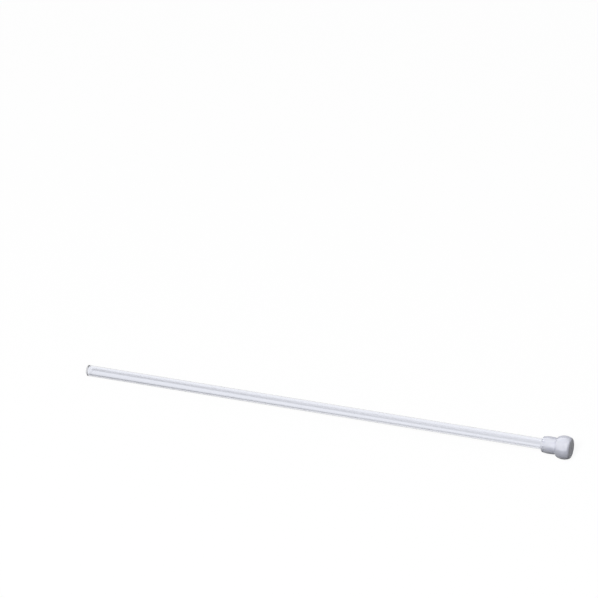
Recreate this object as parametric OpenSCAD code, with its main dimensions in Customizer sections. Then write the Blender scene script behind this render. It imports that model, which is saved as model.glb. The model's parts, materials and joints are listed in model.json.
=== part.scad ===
// Glass sample tube for nuclear magnetic resonance work, closed by a push-on plastic cap.
//
// Both pieces are turned shapes on one axis. Each is drawn as half of its section, with the
// closed end of the glass at height 0, and spun round that axis. The closed tube then lies down
// as it comes to rest: it touches the surface at the heel of the glass and at the widest part of
// the cap's head, so the axis rises a little towards the cap.

/* [Glass tube] */
// Length of the glass from its closed end to its rim
tube_length = 229; // [100:1:260]
// Outside diameter of the glass
tube_diameter = 4.97; // [4:0.01:6]
// Thickness of the glass wall
wall_thickness = 0.38; // [0.25:0.01:0.9]
// Thickness of the glass across the closed end
base_thickness = 0.8; // [0.3:0.05:2]
// Outer radius round the closed end
heel_radius = 0.45; // [0.2:0.05:1.8]
// Inner radius round the floor of the bore
floor_radius = 0.4; // [0.1:0.05:1]

/* [Cap skirt] */
// Length of the skirt from its mouth to the head
skirt_length = 6.75; // [5:0.05:9]
// Thickness of the skirt round the glass, where it is thickest
skirt_wall = 1.42; // [1:0.01:2]
// Distance from the mouth to the thickest place
skirt_belly = 3.7; // [2.5:0.1:4.5]
// Radius of the arc along the skirt's side
skirt_crown = 17; // [14:1:60]
// Radius of the outer edge at the mouth
mouth_radius = 0.6; // [0.1:0.05:0.8]
// Width of the chamfer that guides the glass into the mouth
lead_in = 0.2; // [0.05:0.05:0.4]
// Radius in the corner between the skirt and the head
neck_fillet = 0.15; // [0.05:0.05:0.4]

/* [Cap head] */
// Length of the head from the skirt to its end face
head_length = 6.75; // [5:0.05:10]
// Thickness of the head round the glass, where it is thickest
head_wall = 2.88; // [2.4:0.01:4]
// Radius of the arc along the head's side
head_crown = 6.7; // [6:0.1:40]
// Radius of the edge next to the skirt
shoulder_radius = 1; // [0.2:0.1:1.5]
// Radius of the edge round the end face
end_radius = 1.3; // [0.2:0.1:1.6]
// Thickness of the plastic between the glass and the end face
end_thickness = 2.5; // [1:0.1:4]
// Diameter of the mark that the moulding gate leaves in the end face
gate_diameter = 1.6; // [0.8:0.1:3]
// Depth of the gate mark
gate_depth = 0.15; // [0.05:0.01:0.3]

/* [Fit] */
// Radial clearance between the glass and the cap
fit_clearance = 0.02; // [0.01:0.01:0.1]
// Gap between the rim of the glass and the floor of the cap's socket
rim_gap = 0.1; // [0.02:0.02:0.5]

/* [Hidden] */
$fn = 180;

tube_radius = tube_diameter / 2;
bore_radius = tube_radius - wall_thickness;
rim_radius = wall_thickness / 2; // fire polishing melts the rim to a full round

cap_length = skirt_length + head_length;
socket_radius = tube_radius + fit_clearance;
socket_depth = cap_length - end_thickness;
skirt_radius = socket_radius + skirt_wall;
head_radius = socket_radius + head_wall;
head_belly = skirt_length + head_length / 2;
gate_sphere = (pow(gate_diameter / 2, 2) + pow(gate_depth, 2)) / (2 * gate_depth);
// Height of the cap's mouth above the closed end of the glass
cap_mouth = tube_length + rim_gap - socket_depth;

// Reach from the axis, at one height, of an arc that is widest at height belly
function crown_reach(radius, belly, crown, height) =
    radius - crown + sqrt(pow(crown, 2) - pow(height - belly, 2));
// Reach from the axis of the centre of a round edge that runs smoothly into such an arc
function edge_reach(radius, belly, crown, round, height) =
    crown_reach(radius - round, belly, crown - round, height);
// Height at which that edge and the arc meet
function edge_meeting(belly, crown, round, height) =
    belly + (height - belly) * crown / (crown - round);

neck_radius = crown_reach(skirt_radius, skirt_belly, skirt_crown, skirt_length);

// The closed tube lies on the heel of the glass and on the side of the cap's head. Each is an arc:
// the height of its centre on the shared axis, how far below the axis that is, and its radius
heel = [heel_radius, tube_radius - heel_radius, heel_radius];
bearing = [cap_mouth + head_belly, head_radius - head_crown, head_crown];
rise = bearing[1] - heel[1];
run = bearing[0] - heel[0];
// The surface is the straight line that touches both arcs
rest_tilt = atan2(rise, run) + asin((bearing[2] - heel[2]) / norm([rise, run]));
axis_height = heel[2] + heel[1] * cos(rest_tilt) - heel[0] * sin(rest_tilt);
// How far the lying tube reaches each way, from where its axis leaves the closed end
near_end = heel[0] * cos(rest_tilt) - heel[1] * sin(rest_tilt) - heel_radius;
end_edge_reach = edge_reach(head_radius, head_belly, head_crown, end_radius, cap_length - end_radius);
far_end = (cap_mouth + cap_length - end_radius) * cos(rest_tilt)
    + end_edge_reach * sin(rest_tilt) + end_radius;

// Half section of a straight round bar, with a rounded outer edge at its lower end
module bar_section(radius, from, to, round) {
    translate([0, from]) square([radius - round, to - from]);
    translate([0, from + round]) square([radius, to - from - round]);
    translate([radius - round, from + round]) circle(round);
}

// Half section of a round bar whose side is an arc, with both of its outer edges rounded
module crowned_section(radius, from, to, belly, crown, low_round, high_round) {
    low = from + low_round;
    high = to - high_round;
    low_reach = edge_reach(radius, belly, crown, low_round, low);
    high_reach = edge_reach(radius, belly, crown, high_round, high);
    low_meeting = edge_meeting(belly, crown, low_round, low);
    high_meeting = edge_meeting(belly, crown, high_round, high);
    translate([0, from]) square([low_reach, belly - from]);
    translate([0, belly]) square([high_reach, to - belly]);
    translate([low_reach, low]) circle(low_round);
    translate([high_reach, high]) circle(high_round);
    intersection() {
        translate([radius - crown, belly]) circle(crown);
        translate([0, low_meeting]) square([radius, high_meeting - low_meeting]);
    }
}

// Half section of the hole that takes the glass, with a chamfer at its mouth
module socket_section() {
    square([socket_radius, socket_depth]);
    polygon([[0, 0], [socket_radius + lead_in, 0], [socket_radius, lead_in], [0, lead_in]]);
}

// The corner between the skirt and the head, filled to a round
module neck_section() {
    translate([0, skirt_length - neck_fillet]) difference() {
        square([neck_radius + neck_fillet, 2 * neck_fillet]);
        translate([neck_radius + neck_fillet, 0]) circle(neck_fillet);
    }
}

// Spins a half section about the shared axis and lays it down, centred over the origin. The spin
// starts well up the side, so no seam lies along the line on which the tube rests.
module lying() {
    translate([-(near_end + far_end) / 2, 0, axis_height])
        rotate([0, 90 - rest_tilt, 0])
            rotate([0, 0, 45]) rotate_extrude() children();
}

module glass_tube() {
    color([0.85, 0.87, 0.92, 0.5]) lying() {
        difference() {
            bar_section(tube_radius, 0, tube_length - rim_radius, heel_radius);
            bar_section(bore_radius, base_thickness, tube_length, floor_radius);
        }
        translate([tube_radius - rim_radius, tube_length - rim_radius]) circle(rim_radius);
    }
}

module cap() {
    color([0.88, 0.89, 0.94]) lying() translate([0, cap_mouth]) difference() {
        union() {
            // The skirt runs on into the head, far enough to bury its upper edge
            crowned_section(skirt_radius, 0, skirt_length + shoulder_radius, skirt_belly, skirt_crown,
                mouth_radius, shoulder_radius);
            neck_section();
            crowned_section(head_radius, skirt_length, cap_length, head_belly, head_crown,
                shoulder_radius, end_radius);
        }
        socket_section();
        translate([0, cap_length - gate_depth + gate_sphere]) circle(gate_sphere);
    }
}

glass_tube();
cap();
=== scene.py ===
"""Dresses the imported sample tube: clear glass, a milky push-on cap, and a plain studio stage."""

import json
import math

import bmesh
import bpy
from mathutils import Matrix, Vector


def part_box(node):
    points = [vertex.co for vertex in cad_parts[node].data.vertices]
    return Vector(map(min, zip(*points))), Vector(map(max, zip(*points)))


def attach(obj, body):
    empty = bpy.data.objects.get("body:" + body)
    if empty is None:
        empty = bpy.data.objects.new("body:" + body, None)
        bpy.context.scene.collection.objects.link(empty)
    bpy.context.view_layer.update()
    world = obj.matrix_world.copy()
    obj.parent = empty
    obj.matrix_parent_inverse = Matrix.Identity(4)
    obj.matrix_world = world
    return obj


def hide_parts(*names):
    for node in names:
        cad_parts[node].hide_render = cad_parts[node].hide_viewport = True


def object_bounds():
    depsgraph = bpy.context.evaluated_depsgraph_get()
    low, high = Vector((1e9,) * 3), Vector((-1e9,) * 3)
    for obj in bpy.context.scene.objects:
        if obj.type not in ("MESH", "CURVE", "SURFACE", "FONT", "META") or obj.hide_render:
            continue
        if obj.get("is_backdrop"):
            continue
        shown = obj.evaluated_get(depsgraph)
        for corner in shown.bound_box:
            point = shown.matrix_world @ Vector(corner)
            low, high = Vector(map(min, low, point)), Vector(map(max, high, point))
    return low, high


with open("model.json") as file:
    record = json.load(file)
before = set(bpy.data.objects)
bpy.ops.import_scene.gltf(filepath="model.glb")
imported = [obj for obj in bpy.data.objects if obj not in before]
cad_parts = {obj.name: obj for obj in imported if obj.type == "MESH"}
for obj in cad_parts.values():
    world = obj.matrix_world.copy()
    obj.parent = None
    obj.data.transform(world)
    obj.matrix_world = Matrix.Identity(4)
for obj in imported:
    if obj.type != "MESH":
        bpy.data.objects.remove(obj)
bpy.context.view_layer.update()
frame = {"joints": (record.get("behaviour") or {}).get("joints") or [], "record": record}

bl_info = {
    "name": "Sample Tube",
    "version": (1, 0, 0),
    "blender": (4, 5, 0),
    "location": "3D View > Sidebar > Sample Tube",
    "description": "Makes a glass sample tube with its push-on cap, and a stage to show them on",
    "category": "Object",
}

MM = 0.001

# What the frame says about the tube: its mounts by name, and the axis that both pieces share
MOUNTS = {mount["name"]: mount for mount in frame["record"]["mounts"]}
CLOSED_END = Vector(MOUNTS["closed_end"]["pos_m"])
AXIS = Vector(frame["joints"][0]["axis"]).normalized()
GLASS_RADIUS = MOUNTS["glass_barrel"]["dims"]["r_mm"] * MM
BORE_RADIUS = MOUNTS["sample_bore"]["dims"]["r_mm"] * MM
FIT_CLEARANCE = 0.02 * MM  # between the glass and the cap's socket, all round
RIM_GAP = 0.1 * MM  # between the rim of the glass and the floor of the socket

# How the sections are drawn and spun
QUARTER = math.pi / 2
ARC_STEP = math.radians(5)  # between the points of an edge's arc
FLAT_HOLD = 0.04 * MM  # a straight run gets a point this close to each of its ends
FACES_ROUND = 160  # round the axis
SHARP_ANGLE = math.radians(28)  # a fold sharper than this keeps a crisp edge
WELD = 0.0002 * MM  # points closer than this are one
FIT_TOLERANCE = 0.06 * MM  # how far a piece may be off the CAD node that it replaces


# ---------------------------------------------------------------- settings


def length_property(name, description, millimetres):
    """A length, given in millimetres and kept in metres."""
    return bpy.props.FloatProperty(
        name=name,
        description=description,
        default=millimetres * MM,
        min=0.0,
        precision=5,
        subtype="DISTANCE",
        unit="LENGTH",
    )


def colour_property(name, description, colour):
    return bpy.props.FloatVectorProperty(
        name=name,
        description=description,
        default=colour,
        min=0.0,
        max=1.0,
        size=3,
        subtype="COLOR",
    )


def steps_property(description):
    return bpy.props.IntProperty(
        name="Steps", description=description, default=FACES_ROUND, min=24, max=512
    )


def power_property(name, description, watts):
    return bpy.props.FloatProperty(
        name=name, description=description, default=watts, min=0.0, unit="POWER"
    )


class GlassSettings(bpy.types.PropertyGroup):
    """The glass tube's sizes and tint"""

    length: length_property("Length", "From the closed end to the rim", 229)
    base: length_property("Base", "Thickness of the glass across the closed end", 0.8)
    heel: length_property("Heel radius", "Outer radius round the closed end", 0.45)
    floor: length_property("Floor radius", "Inner radius round the bore's floor", 0.4)
    tint: colour_property("Tint", "Colour of the light that the glass passes", (0.95, 0.96, 1.0))
    steps: steps_property("Faces round the tube")


class CapSettings(bpy.types.PropertyGroup):
    """The cap's sizes and colour"""

    skirt_length: length_property("Skirt length", "From the mouth to the head", 6.75)
    skirt_wall: length_property("Skirt wall", "Plastic round the glass, at its thickest", 1.42)
    skirt_belly: length_property("Skirt belly", "From the mouth to the thickest place", 3.7)
    skirt_crown: length_property("Skirt crown", "Radius of the arc along the skirt", 17)
    mouth: length_property("Mouth radius", "Outer edge at the mouth", 0.6)
    lead_in: length_property("Lead-in", "Chamfer that guides the glass in", 0.2)
    neck: length_property("Neck fillet", "Corner between skirt and head", 0.15)
    head_length: length_property("Head length", "From the skirt to the end face", 6.75)
    head_wall: length_property("Head wall", "Plastic round the glass in the head", 2.88)
    head_crown: length_property("Head crown", "Radius of the arc along the head", 6.7)
    shoulder: length_property("Shoulder radius", "Edge next to the skirt", 1.0)
    end: length_property("End radius", "Edge round the end face", 1.3)
    end_wall: length_property("End wall", "Plastic beyond the socket", 2.5)
    gate: length_property("Gate diameter", "Mark left by the moulding gate", 1.6)
    gate_depth: length_property("Gate depth", "Depth of the gate mark", 0.15)
    colour: colour_property("Colour", "Colour of the milky plastic", (0.44, 0.45, 0.51))
    steps: steps_property("Faces round the cap")


class StageSettings(bpy.types.PropertyGroup):
    """The floor's looks and the lights' powers"""

    floor_colour: colour_property("Floor", "Colour of the floor", (0.98, 0.98, 0.98))
    bounce: colour_property("Bounce", "Light that the floor throws back", (0.05, 0.05, 0.05))
    backdrop: bpy.props.FloatProperty(
        name="Backdrop",
        description="How far the floor is shown plain white",
        default=0.93,
        min=0.0,
        max=1.0,
        subtype="FACTOR",
    )
    key_power: power_property("Key light", "Power of the softbox in front", 92)
    fill_power: power_property("Fill light", "Power of the strip softbox behind the cap", 47)
    gloss_power: power_property("Gloss light", "Power of the softbox that the cap mirrors", 300)
    sky: bpy.props.FloatProperty(
        name="Sky", description="Strength of the light from all round", default=0.2, min=0.0
    )


# ---------------------------------------------------------------- sections
# A section is a list of (distance from the axis, height) points, run from one end of the piece's
# outline on the axis to the other.


def arc(centre, radius, start, stop):
    """Points along an arc, from one angle to another, both ends included."""
    count = max(2, math.ceil(abs(stop - start) / ARC_STEP)) + 1
    angles = [start + (stop - start) * i / (count - 1) for i in range(count)]
    return [
        (centre[0] + radius * math.cos(a), centre[1] + radius * math.sin(a)) for a in angles
    ]


def outline(*runs):
    """Joins points and arcs into one section, with a holding point near each end of every straight
    run, so that the shading of a round edge stops where the edge does."""
    joined = []
    for run in runs:
        start = Vector(run[0])
        if joined:
            last = Vector(joined[-1])
            gap = start - last
            if gap.length > 3 * FLAT_HOLD:
                step = gap.normalized() * FLAT_HOLD
                joined += [tuple(last + step), tuple(start - step)]
            elif gap.length < WELD:
                run = run[1:]
        joined += run
    return joined


def crown_reach(radius, belly, crown, height):
    """How far out an arc is at one height, if it is widest at height belly."""
    return radius - crown + math.sqrt(crown**2 - (height - belly) ** 2)


def crossing(centre_a, radius_a, centre_b, radius_b):
    """The upper of the two points where two circles cross."""
    a, b = Vector(centre_a), Vector(centre_b)
    apart = b - a
    along = (apart.length_squared + radius_a**2 - radius_b**2) / (2 * apart.length)
    aside = math.sqrt(radius_a**2 - along**2)
    unit = apart.normalized()
    side = Vector((-unit.y, unit.x)) * aside
    return max((a + unit * along + s for s in (side, -side)), key=lambda p: p.y)


def angle_of(point, centre):
    """The angle at which a point is seen from a centre."""
    return math.atan2(point[1] - centre[1], point[0] - centre[0])


def glass_section(glass):
    """The glass, from the middle of its closed end over the rim to the middle of the floor."""
    outer, bore = GLASS_RADIUS, BORE_RADIUS
    rim = (outer - bore) / 2
    return outline(
        [(0.0, 0.0)],
        arc((outer - glass.heel, glass.heel), glass.heel, -QUARTER, 0),
        arc((outer - rim, glass.length - rim), rim, 0, math.pi),
        arc((bore - glass.floor, glass.base + glass.floor), glass.floor, 0, -QUARTER),
        [(0.0, glass.base)],
    )


def cap_section(cap):
    """The cap, from the gate mark down its side and up the socket. Heights are from the mouth."""
    length = cap.skirt_length + cap.head_length
    socket = GLASS_RADIUS + FIT_CLEARANCE
    skirt, head = socket + cap.skirt_wall, socket + cap.head_wall
    head_belly = cap.skirt_length + cap.head_length / 2
    head_centre = (head - cap.head_crown, head_belly)
    skirt_centre = (skirt - cap.skirt_crown, cap.skirt_belly)

    def edge(radius, belly, crown, round_, height):
        """The centre of a round edge that runs smoothly into a crowned side."""
        return crown_reach(radius - round_, belly, crown - round_, height), height

    end = edge(head, head_belly, cap.head_crown, cap.end, length - cap.end)
    shoulder = edge(
        head, head_belly, cap.head_crown, cap.shoulder, cap.skirt_length + cap.shoulder
    )
    mouth = edge(skirt, cap.skirt_belly, cap.skirt_crown, cap.mouth, cap.mouth)
    neck = (
        crown_reach(skirt, cap.skirt_belly, cap.skirt_crown, cap.skirt_length) + cap.neck,
        cap.skirt_length - cap.neck,
    )
    meeting = crossing(skirt_centre, cap.skirt_crown, neck, cap.neck)
    gate_ball = ((cap.gate / 2) ** 2 + cap.gate_depth**2) / (2 * cap.gate_depth)
    gate_centre = (0.0, length - cap.gate_depth + gate_ball)
    gate_edge = (cap.gate / 2, length)
    # Where each arc hands over to the next
    end_turn, shoulder_turn = angle_of(end, head_centre), angle_of(shoulder, head_centre)
    neck_turn = angle_of(meeting, neck) % (2 * math.pi)
    skirt_turn, mouth_turn = angle_of(meeting, skirt_centre), angle_of(mouth, skirt_centre)
    return outline(
        arc(gate_centre, gate_ball, -QUARTER, angle_of(gate_edge, gate_centre)),
        arc(end, cap.end, QUARTER, end_turn),
        arc(head_centre, cap.head_crown, end_turn, shoulder_turn),
        arc(shoulder, cap.shoulder, shoulder_turn, -QUARTER),
        arc(neck, cap.neck, QUARTER, neck_turn),
        arc(skirt_centre, cap.skirt_crown, skirt_turn, mouth_turn),
        arc(mouth, cap.mouth, mouth_turn, -QUARTER),
        [(socket + cap.lead_in, 0.0)],
        [(socket, cap.lead_in)],
        [(socket, length - cap.end_wall)],
        [(0.0, length - cap.end_wall)],
    )


def cap_mouth(glass, cap):
    """Height of the cap's mouth over the closed end of the glass."""
    socket_depth = cap.skirt_length + cap.head_length - cap.end_wall
    return glass.length + RIM_GAP - socket_depth


# ---------------------------------------------------------------- node tree that spins a section


def add_node(tree, kind, **settings):
    """A new node, with its properties set."""
    node = tree.nodes.new(kind)
    for name, value in settings.items():
        setattr(node, name, value)
    return node


def math_node(tree, operation, *values):
    """The result of a sum, each of whose values is a number or another node's socket."""
    node = add_node(tree, "ShaderNodeMath", operation=operation)
    for socket, value in zip(node.inputs, values):
        if isinstance(value, (int, float)):
            socket.default_value = value
        else:
            tree.links.new(value, socket)
    return node.outputs[0]


def turned_piece_tree():
    """Spins a section, given as a chain of points in its mesh, about its own Z axis and lays the
    result along the tube's axis."""
    tree = bpy.data.node_groups.new("Turned piece", "GeometryNodeTree")
    face = tree.interface
    face.new_socket("Section", in_out="INPUT", socket_type="NodeSocketGeometry")
    steps = face.new_socket("Steps", in_out="INPUT", socket_type="NodeSocketInt")
    steps.default_value, steps.min_value = FACES_ROUND, 3
    foot = face.new_socket("Foot", in_out="INPUT", socket_type="NodeSocketVector")
    foot.subtype = "TRANSLATION"
    face.new_socket("Lay", in_out="INPUT", socket_type="NodeSocketRotation")
    sharp = face.new_socket("Sharp angle", in_out="INPUT", socket_type="NodeSocketFloat")
    sharp.subtype, sharp.default_value = "ANGLE", SHARP_ANGLE
    face.new_socket("Finish", in_out="INPUT", socket_type="NodeSocketMaterial")
    face.new_socket("Piece", in_out="OUTPUT", socket_type="NodeSocketGeometry")
    link = tree.links.new
    given = add_node(tree, "NodeGroupInput").outputs
    result = add_node(tree, "NodeGroupOutput")

    count = add_node(tree, "GeometryNodeAttributeDomainSize", component="MESH")
    link(given["Section"], count.inputs["Geometry"])
    points = count.outputs["Point Count"]
    columns = math_node(tree, "ADD", given["Steps"], 1)
    grid = add_node(tree, "GeometryNodeMeshGrid")
    link(points, grid.inputs["Vertices X"])
    link(columns, grid.inputs["Vertices Y"])

    # Each grid point takes its section point from its row and its angle from its column. The half
    # keeps the division clear of the whole numbers, where it might round down by one
    index = add_node(tree, "GeometryNodeInputIndex").outputs[0]
    middle = math_node(tree, "ADD", index, 0.5)
    row = math_node(tree, "FLOOR", math_node(tree, "DIVIDE", middle, columns))
    column = math_node(tree, "SUBTRACT", index, math_node(tree, "MULTIPLY", row, columns))
    turn = math_node(tree, "DIVIDE", column, given["Steps"])
    angle = math_node(tree, "MULTIPLY", turn, 2 * math.pi)
    place = add_node(tree, "GeometryNodeSampleIndex", data_type="FLOAT_VECTOR", domain="POINT")
    link(given["Section"], place.inputs["Geometry"])
    link(add_node(tree, "GeometryNodeInputPosition").outputs[0], place.inputs["Value"])
    link(row, place.inputs["Index"])
    spin = add_node(tree, "ShaderNodeVectorRotate", rotation_type="Z_AXIS")
    link(place.outputs["Value"], spin.inputs["Vector"])
    link(angle, spin.inputs["Angle"])
    spun = add_node(tree, "GeometryNodeSetPosition")
    link(grid.outputs["Mesh"], spun.inputs["Geometry"])
    link(spin.outputs["Vector"], spun.inputs["Position"])

    # The seam and the poles are closed, and the piece is laid in place
    closed = add_node(tree, "GeometryNodeMergeByDistance")
    link(spun.outputs["Geometry"], closed.inputs["Geometry"])
    closed.inputs["Distance"].default_value = WELD
    laid = add_node(tree, "GeometryNodeTransform")
    link(closed.outputs["Geometry"], laid.inputs["Geometry"])
    link(given["Foot"], laid.inputs["Translation"])
    link(given["Lay"], laid.inputs["Rotation"])

    # Smooth shading, except over the crisp edges, and the finish
    smooth = add_node(tree, "GeometryNodeSetShadeSmooth", domain="FACE")
    link(laid.outputs["Geometry"], smooth.inputs["Geometry"])
    crisp = add_node(tree, "GeometryNodeSetShadeSmooth", domain="EDGE")
    link(smooth.outputs["Geometry"], crisp.inputs["Geometry"])
    fold = add_node(tree, "GeometryNodeInputMeshEdgeAngle")
    is_sharp = math_node(tree, "GREATER_THAN", fold.outputs["Unsigned Angle"], given["Sharp angle"])
    link(is_sharp, crisp.inputs["Selection"])
    crisp.inputs["Shade Smooth"].default_value = False

    real = add_node(tree, "GeometryNodeRealizeInstances")
    link(crisp.outputs["Geometry"], real.inputs["Geometry"])
    finish = add_node(tree, "GeometryNodeSetMaterial")
    link(real.outputs["Geometry"], finish.inputs["Geometry"])
    link(given["Finish"], finish.inputs["Material"])
    link(finish.outputs["Geometry"], result.inputs["Piece"])
    return tree


def socket_key(tree, name):
    """The name under which a modifier keeps one of its tree's inputs."""
    return next(
        item.identifier for item in tree.interface.items_tree
        if item.name == name and item.in_out == "INPUT"
    )


def spin_piece(name, section, steps, foot, finish):
    """A finished mesh object, turned from a section and laid along the tube's axis."""
    tree = bpy.data.node_groups.get("Turned piece") or turned_piece_tree()
    chain = bpy.data.meshes.new(name + "_section")
    chain.from_pydata([(reach, 0.0, height) for reach, height in section],
                      [(i, i + 1) for i in range(len(section) - 1)], [])
    piece = bpy.data.objects.new(name, chain)
    bpy.context.scene.collection.objects.link(piece)
    spinner = piece.modifiers.new("Turned piece", "NODES")
    spinner.node_group = tree
    lay = AXIS.to_track_quat("Z", "Y").to_euler()
    for socket, value in (("Steps", steps), ("Foot", foot), ("Lay", lay),
                          ("Sharp angle", SHARP_ANGLE), ("Finish", finish)):
        spinner[socket_key(tree, socket)] = value
    graph = bpy.context.evaluated_depsgraph_get()
    mesh = bpy.data.meshes.new_from_object(piece.evaluated_get(graph), depsgraph=graph)
    piece.modifiers.remove(spinner)
    piece.data = mesh
    mesh.name = name
    bpy.data.meshes.remove(chain)
    point_outwards(mesh)
    return piece


def point_outwards(mesh):
    """Turns the faces so that they point out of the material, and makes sure that it is closed."""
    work = bmesh.new()
    work.from_mesh(mesh)
    open_edges = [e for e in work.edges if not e.is_manifold]
    if open_edges:
        raise RuntimeError(f"{mesh.name} has {len(open_edges)} open edges")
    if work.calc_volume(signed=True) < 0:
        bmesh.ops.reverse_faces(work, faces=work.faces)
    work.to_mesh(mesh)
    work.free()


def stand_for(piece, node, body):
    """Puts the piece in the CAD node's place, if it has the node's size and place."""
    corners = [piece.matrix_world @ vertex.co for vertex in piece.data.vertices]
    low = Vector(map(min, *corners))
    high = Vector(map(max, *corners))
    cad_low, cad_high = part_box(node)
    error = max((low - cad_low).length, (high - cad_high).length)
    if error > FIT_TOLERANCE:
        raise RuntimeError(f"{piece.name} is {error / MM:.3f} mm off the node {node}")
    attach(piece, body)
    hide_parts(node)


# ---------------------------------------------------------------- finishes

# The glass: its index, the lines along it, as noise cells to a metre along and across it, and how
# much of a lamp's light it passes where that meets it squarely and where it grazes it
GLASS_INDEX = 1.473
LINES_SCALE = (4, 900, 900)
LINES_STRENGTH, LINES_DEPTH = 0.0003, 0.05 * MM
SQUARE_UP_TO, PASSED_SQUARE = 0.12, (0.99, 0.99, 0.99, 1)
GRAZING_FROM, PASSED_GRAZING = 0.6, (0.5, 0.5, 0.51, 1)

# The plastic: its index, the clouding and the satin that goes with it, the grain from the mould,
# and the light that goes into it
PLASTIC_INDEX = 1.51
CLOUD_SCALE, CLOUD_SHADE = 260.0, 0.96  # noise cells to a metre, and the colour's darkest
SATIN = (0.24, 0.36)  # roughness, at the least and at the most
GRAIN_SCALE, GRAIN_STRENGTH, GRAIN_DEPTH = 5200.0, 0.12, 0.02 * MM
GLOW_SHARE, GLOW_RADIUS, GLOW_DEPTH = 0.6, (1.0, 1.0, 1.1), 0.6 * MM

MIRRORED_SHARE = 0.55  # how bright floor and sky are in a mirroring surface


def new_material(name):
    """A material with no nodes but its output."""
    material = bpy.data.materials.new(name)
    material.use_nodes = True
    tree = material.node_tree
    tree.nodes.clear()
    return material, tree, add_node(tree, "ShaderNodeOutputMaterial")


def noise(tree, vector, scale, detail):
    """How dense a noise is, from 0 to 1."""
    texture = add_node(tree, "ShaderNodeTexNoise")
    texture.inputs["Scale"].default_value = scale
    texture.inputs["Detail"].default_value = detail
    tree.links.new(vector, texture.inputs["Vector"])
    return texture.outputs["Fac"]


def bump(tree, height, strength, depth, shader):
    """Gives a shader's surface a fine relief."""
    relief = add_node(tree, "ShaderNodeBump")
    relief.inputs["Strength"].default_value = strength
    relief.inputs["Distance"].default_value = depth
    tree.links.new(height, relief.inputs["Height"])
    tree.links.new(relief.outputs[0], shader.inputs["Normal"])


def mix_shaders(tree, factor, first, second):
    """The first shader where the factor is 0, and the second where it is 1. The factor is a number
    or another node's socket."""
    mix = add_node(tree, "ShaderNodeMixShader")
    if isinstance(factor, float):
        mix.inputs["Fac"].default_value = factor
    else:
        tree.links.new(factor, mix.inputs["Fac"])
    tree.links.new(first, mix.inputs[1])
    tree.links.new(second, mix.inputs[2])
    return mix.outputs[0]


def clear_glass(tint):
    """Drawn borosilicate glass: clear, with the faintest lines along it, as drawing leaves."""
    material, tree, output = new_material("clear_glass")
    shader = add_node(tree, "ShaderNodeBsdfPrincipled")
    shader.inputs["Base Color"].default_value = (*tint, 1)
    shader.inputs["Transmission Weight"].default_value = 1.0
    shader.inputs["IOR"].default_value = GLASS_INDEX
    shader.inputs["Roughness"].default_value = 0.0
    place = add_node(tree, "ShaderNodeTexCoord")
    stretch = add_node(tree, "ShaderNodeMapping")
    stretch.inputs["Scale"].default_value = LINES_SCALE
    tree.links.new(place.outputs["Object"], stretch.inputs["Vector"])
    lines = noise(tree, stretch.outputs[0], scale=1.0, detail=2.0)
    bump(tree, lines, LINES_STRENGTH, LINES_DEPTH, shader)

    # Lamps shine through to the floor, except where they meet the glass so obliquely that it
    # throws their light aside
    slant = add_node(tree, "ShaderNodeLayerWeight")
    slant.inputs["Blend"].default_value = 0.5
    passed = add_node(tree, "ShaderNodeValToRGB")
    passed.color_ramp.interpolation = "EASE"
    square, grazing = passed.color_ramp.elements
    square.position, square.color = SQUARE_UP_TO, PASSED_SQUARE
    grazing.position, grazing.color = GRAZING_FROM, PASSED_GRAZING
    tree.links.new(slant.outputs["Facing"], passed.inputs["Fac"])
    through = add_node(tree, "ShaderNodeBsdfTransparent")
    tree.links.new(passed.outputs[0], through.inputs["Color"])
    shadow_ray = add_node(tree, "ShaderNodeLightPath").outputs["Is Shadow Ray"]
    mixed = mix_shaders(tree, shadow_ray, shader.outputs[0], through.outputs[0])
    tree.links.new(mixed, output.inputs["Surface"])
    return material


def milky_plastic(colour):
    """Natural polyethylene: milky, lets light in, and satin from the mould."""
    material, tree, output = new_material("milky_plastic")
    shader = add_node(tree, "ShaderNodeBsdfPrincipled")
    place = add_node(tree, "ShaderNodeTexCoord").outputs["Object"]
    cloud = noise(tree, place, CLOUD_SCALE, detail=3.0)
    shade = add_node(tree, "ShaderNodeValToRGB")
    shade.color_ramp.elements[0].color = (*(c * CLOUD_SHADE for c in colour), 1)
    shade.color_ramp.elements[1].color = (*colour, 1)
    tree.links.new(cloud, shade.inputs["Fac"])
    tree.links.new(shade.outputs[0], shader.inputs["Base Color"])
    satin = add_node(tree, "ShaderNodeMapRange")
    satin.inputs["To Min"].default_value, satin.inputs["To Max"].default_value = SATIN
    tree.links.new(cloud, satin.inputs["Value"])
    tree.links.new(satin.outputs[0], shader.inputs["Roughness"])
    grain = noise(tree, place, GRAIN_SCALE, detail=4.0)
    bump(tree, grain, GRAIN_STRENGTH, GRAIN_DEPTH, shader)
    shader.inputs["IOR"].default_value = PLASTIC_INDEX
    shader.inputs["Subsurface Weight"].default_value = GLOW_SHARE
    shader.inputs["Subsurface Radius"].default_value = GLOW_RADIUS
    shader.inputs["Subsurface Scale"].default_value = GLOW_DEPTH
    tree.links.new(shader.outputs[0], output.inputs["Surface"])
    return material


def stage_floor(colour, bounce, backdrop):
    """Pale floor. Looked at straight it is nearly plain white with a faint shadow, glass and shiny
    surfaces show it as it is lit, and it throws back little light onto the object."""
    material, tree, output = new_material("stage_floor")
    pale, dim = (add_node(tree, "ShaderNodeBsdfDiffuse") for _ in range(2))
    pale.inputs["Color"].default_value = (*colour, 1)
    dim.inputs["Color"].default_value = (*bounce, 1)
    white = add_node(tree, "ShaderNodeEmission")
    white.inputs["Strength"].default_value = 1.0
    shown = mix_shaders(tree, backdrop, pale.outputs[0], white.outputs[0])
    lit = mix_shaders(tree, looked_at(tree), dim.outputs[0], pale.outputs[0])
    camera_ray = add_node(tree, "ShaderNodeLightPath").outputs["Is Camera Ray"]
    tree.links.new(mix_shaders(tree, camera_ray, lit, shown), output.inputs["Surface"])
    return material


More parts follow.
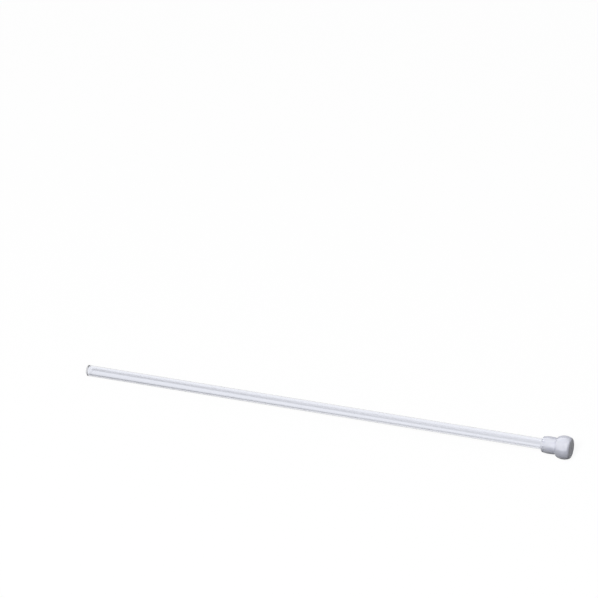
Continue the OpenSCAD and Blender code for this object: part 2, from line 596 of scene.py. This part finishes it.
def looked_at(tree):
    """1 for what is seen through glass, less for what is mirrored, and 0 for what only gives
    light."""
    path = add_node(tree, "ShaderNodeLightPath").outputs
    mirrored = math_node(tree, "MULTIPLY", path["Is Glossy Ray"], MIRRORED_SHARE)
    seen = math_node(tree, "MAXIMUM", path["Is Transmission Ray"], mirrored)
    direct = math_node(tree, "LESS_THAN", path["Diffuse Depth"], 0.5)  # no diffuse bounce so far
    return math_node(tree, "MULTIPLY", seen, direct)


# ---------------------------------------------------------------- stage

# Where the camera stands, how far it is rolled, and how it frames the object
CAMERA_AZIMUTH = math.radians(20.8)
CAMERA_ELEVATION = math.radians(34.5)
CAMERA_ROLL = math.radians(-2.6)
CAMERA_LENS = 400.0  # millimetres, on a 36 mm sensor
CAMERA_DISTANCE = 3.0  # metres, from the point that it aims at
CAMERA_AIM = (-12.5 * MM, 48.5 * MM)  # across and up in the view, from the object's middle

FLOOR_REACH = 4.0  # metres, from the origin to each side

# Each softbox's width and height, and where it stands, in metres
KEY_SIZE, KEY_PLACE = (0.5, 1.0), (-0.1, -2.0, 2.05)
FILL_SIZE, FILL_PLACE = (4.0, 1.0), (0.2, 2.0, 1.0)
GLOSS_SIZE, GLOSS_PLACE = (5.0, 4.0), (-0.3, -0.36, 0.93)


def make_camera():
    """The camera, far off with a long lens, and rolled a little."""
    out, rise = math.cos(CAMERA_ELEVATION), math.sin(CAMERA_ELEVATION)
    back = Vector((math.sin(CAMERA_AZIMUTH) * out, -math.cos(CAMERA_AZIMUTH) * out, rise))
    right = Vector((0, 0, 1)).cross(back).normalized()
    up = back.cross(right)
    turn = Matrix.Rotation(CAMERA_ROLL, 3, back)
    right, up = turn @ right, turn @ up
    low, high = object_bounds()
    aim = (low + high) / 2 + right * CAMERA_AIM[0] + up * CAMERA_AIM[1]
    data = bpy.data.cameras.new("camera")
    data.lens = CAMERA_LENS
    camera = bpy.data.objects.new("camera", data)
    bpy.context.scene.collection.objects.link(camera)
    place = Matrix((right, up, back)).transposed().to_4x4()
    place.translation = aim + back * CAMERA_DISTANCE
    camera.matrix_world = place
    bpy.context.scene.camera = camera


def make_floor(stage):
    """A wide square on which the tube lies."""
    sides = ((-1, -1), (1, -1), (1, 1), (-1, 1))
    corners = [(FLOOR_REACH * x, FLOOR_REACH * y, 0) for x, y in sides]
    mesh = bpy.data.meshes.new("stage_floor")
    mesh.from_pydata(corners, [], [(0, 1, 2, 3)])
    mesh.materials.append(stage_floor(stage.floor_colour, stage.bounce, stage.backdrop))
    floor = bpy.data.objects.new("stage_floor", mesh)
    bpy.context.scene.collection.objects.link(floor)
    floor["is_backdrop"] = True


def make_light(name, power, size, place, mirrored=False, only=None):
    """A softbox that faces the object. It either gives light or is mirrored, and it may be for one
    piece only."""
    lamp = bpy.data.lights.new(name, "AREA")
    lamp.energy, lamp.shape, lamp.size, lamp.size_y = power, "RECTANGLE", *size
    light = bpy.data.objects.new(name, lamp)
    bpy.context.scene.collection.objects.link(light)
    light.location = place
    light.rotation_euler = light.location.to_track_quat("Z", "Y").to_euler()
    light.visible_camera = light.visible_transmission = False
    light.visible_diffuse, light.visible_glossy = not mirrored, mirrored
    if only:
        light.light_linking.receiver_collection = bpy.data.collections.new(name)
        light.light_linking.receiver_collection.objects.link(only)


def make_world(stage):
    """A plain white sky that gives less light than it shows."""
    world = bpy.data.worlds.new("studio")
    bpy.context.scene.world = world
    world.use_nodes = True
    tree = world.node_tree
    tree.nodes.clear()
    output = add_node(tree, "ShaderNodeOutputWorld")
    light, white = (add_node(tree, "ShaderNodeBackground") for _ in range(2))
    for node, strength in ((light, stage.sky), (white, 1.0)):
        node.inputs["Color"].default_value = (1, 1, 1, 1)
        node.inputs["Strength"].default_value = strength
    camera_ray = add_node(tree, "ShaderNodeLightPath").outputs["Is Camera Ray"]
    shown = math_node(tree, "MAXIMUM", camera_ray, looked_at(tree))
    mixed = mix_shaders(tree, shown, light.outputs[0], white.outputs[0])
    tree.links.new(mixed, output.inputs["Surface"])


# ---------------------------------------------------------------- operators and panel


class SAMPLETUBE_OT_glass(bpy.types.Operator):
    """Make the glass tube"""

    bl_idname = "sampletube.glass"
    bl_label = "Make Glass Tube"
    bl_options = {"REGISTER", "UNDO"}

    def execute(self, context):
        glass = context.scene.sample_tube_glass
        piece = spin_piece("clear_glass_tube", glass_section(glass), glass.steps, CLOSED_END,
                           clear_glass(glass.tint))
        stand_for(piece, "glass_tube", "tube")
        return {"FINISHED"}


class SAMPLETUBE_OT_cap(bpy.types.Operator):
    """Make the push-on cap"""

    bl_idname = "sampletube.cap"
    bl_label = "Make Cap"
    bl_options = {"REGISTER", "UNDO"}

    def execute(self, context):
        glass, cap = context.scene.sample_tube_glass, context.scene.sample_tube_cap
        foot = CLOSED_END + AXIS * cap_mouth(glass, cap)
        piece = spin_piece("milky_cap", cap_section(cap), cap.steps, foot,
                           milky_plastic(cap.colour))
        stand_for(piece, "cap", "closure")
        return {"FINISHED"}


class SAMPLETUBE_OT_stage(bpy.types.Operator):
    """Make the floor, the lights and the camera"""

    bl_idname = "sampletube.stage"
    bl_label = "Make Stage"
    bl_options = {"REGISTER", "UNDO"}

    def execute(self, context):
        stage = context.scene.sample_tube_stage
        make_floor(stage)
        make_world(stage)
        cap = context.scene.objects["milky_cap"]
        make_light("key", stage.key_power, KEY_SIZE, KEY_PLACE)
        make_light("fill", stage.fill_power, FILL_SIZE, FILL_PLACE, only=cap)
        make_light("gloss", stage.gloss_power, GLOSS_SIZE, GLOSS_PLACE, mirrored=True, only=cap)
        make_camera()
        context.scene.view_settings.view_transform = "Standard"
        return {"FINISHED"}


class SAMPLETUBE_PT_panel(bpy.types.Panel):
    """Shows each group of settings with its button"""

    bl_idname = "SAMPLETUBE_PT_panel"
    bl_label = "Sample Tube"
    bl_space_type = "VIEW_3D"
    bl_region_type = "UI"
    bl_category = "Sample Tube"

    def draw(self, context):
        scene = context.scene
        for settings, operator in (
            (scene.sample_tube_glass, SAMPLETUBE_OT_glass),
            (scene.sample_tube_cap, SAMPLETUBE_OT_cap),
            (scene.sample_tube_stage, SAMPLETUBE_OT_stage),
        ):
            column = self.layout.column(align=True)
            for name in settings.__annotations__:
                column.prop(settings, name)
            column.operator(operator.bl_idname)


CLASSES = (
    GlassSettings,
    CapSettings,
    StageSettings,
    SAMPLETUBE_OT_glass,
    SAMPLETUBE_OT_cap,
    SAMPLETUBE_OT_stage,
    SAMPLETUBE_PT_panel,
)


def register():
    for cls in CLASSES:
        bpy.utils.register_class(cls)
    scene = bpy.types.Scene
    scene.sample_tube_glass = bpy.props.PointerProperty(type=GlassSettings)
    scene.sample_tube_cap = bpy.props.PointerProperty(type=CapSettings)
    scene.sample_tube_stage = bpy.props.PointerProperty(type=StageSettings)


def unregister():
    scene = bpy.types.Scene
    del scene.sample_tube_glass, scene.sample_tube_cap, scene.sample_tube_stage
    for cls in reversed(CLASSES):
        bpy.utils.unregister_class(cls)


def main():
    """Makes both pieces and the stage."""
    register()
    bpy.ops.sampletube.glass()
    bpy.ops.sampletube.cap()
    bpy.ops.sampletube.stage()


if __name__ == "__main__":
    main()
